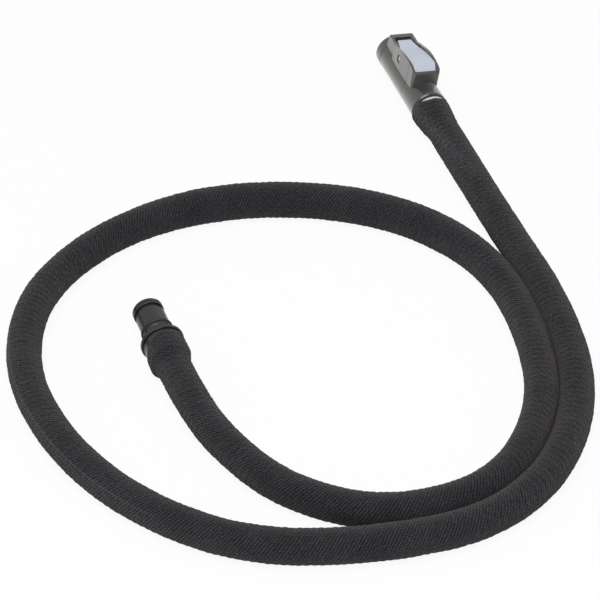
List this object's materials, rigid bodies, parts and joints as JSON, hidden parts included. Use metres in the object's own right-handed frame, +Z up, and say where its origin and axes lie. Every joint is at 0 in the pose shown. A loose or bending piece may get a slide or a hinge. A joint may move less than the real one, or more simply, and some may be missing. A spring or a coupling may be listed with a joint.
{
  "type": "insulated drinking tube",
  "caption": "Flexible drinking tube in a woven sleeve, with a latching shut-off socket at one end and a matching sealed plug at the other.",
  "frame": {"origin": "on the supporting plane, under the middle of the socket (midway between its mouth and its barb's end)", "axes": "+Y along the socket's bore, out of its mouth; +Z up from the plane on which it lies; +X to the right"},
  "size_m": [0.2142, 0.2795, 0.0224],
  "materials": {
    "housing": "satin moulded",
    "pale_plastic": "satin moulded",
    "inner_plastic": "moulded",
    "plug_plastic": "satin moulded",
    "seal": "lubricated",
    "steel": "drawn",
    "tube": "smooth",
    "sleeve": "woven",
    "tape": "adhesive"
  },
  "bodies": {
    "socket": {"front_housing": "housing", "rear_housing": "housing", "housing_oring": "seal", "lever_pin": "steel", "lever_spring": "steel", "valve_guide": "inner_plastic", "valve_spring": "steel", "barb_insert": "pale_plastic", "insert_oring": "seal", "socket_clamp": "steel", "socket_tape": "tape", "drinking_tube": "tube", "woven_sleeve": "sleeve", "plug_tape": "tape", "plug_clamp": "steel", "plug_collar": "plug_plastic", "plug_body": "plug_plastic", "plug_oring": "seal"},
    "lever": {"release_lever": "pale_plastic"},
    "valve": {"valve_poppet": "inner_plastic", "poppet_oring": "seal"}
  },
  "joints": [
    {"name": "lever_press", "type": "hinge", "parent": "socket", "child": "lever", "pos_m": [0.00131, 0.009, 0.01691], "axis": [0.9903, 0, -0.1392], "range_deg": [0, 9], "stiffness_Nm_per_rad": 0.25, "springref_deg": -8.59, "deforming": ["lever_spring"]},
    {"name": "valve_push", "type": "slide", "parent": "socket", "child": "valve", "axis": [0, -1, 0], "range_m": [0, 0.0035], "stiffness_N_per_m": 500, "springref_m": -0.003, "deforming": ["valve_spring"]}
  ]
}
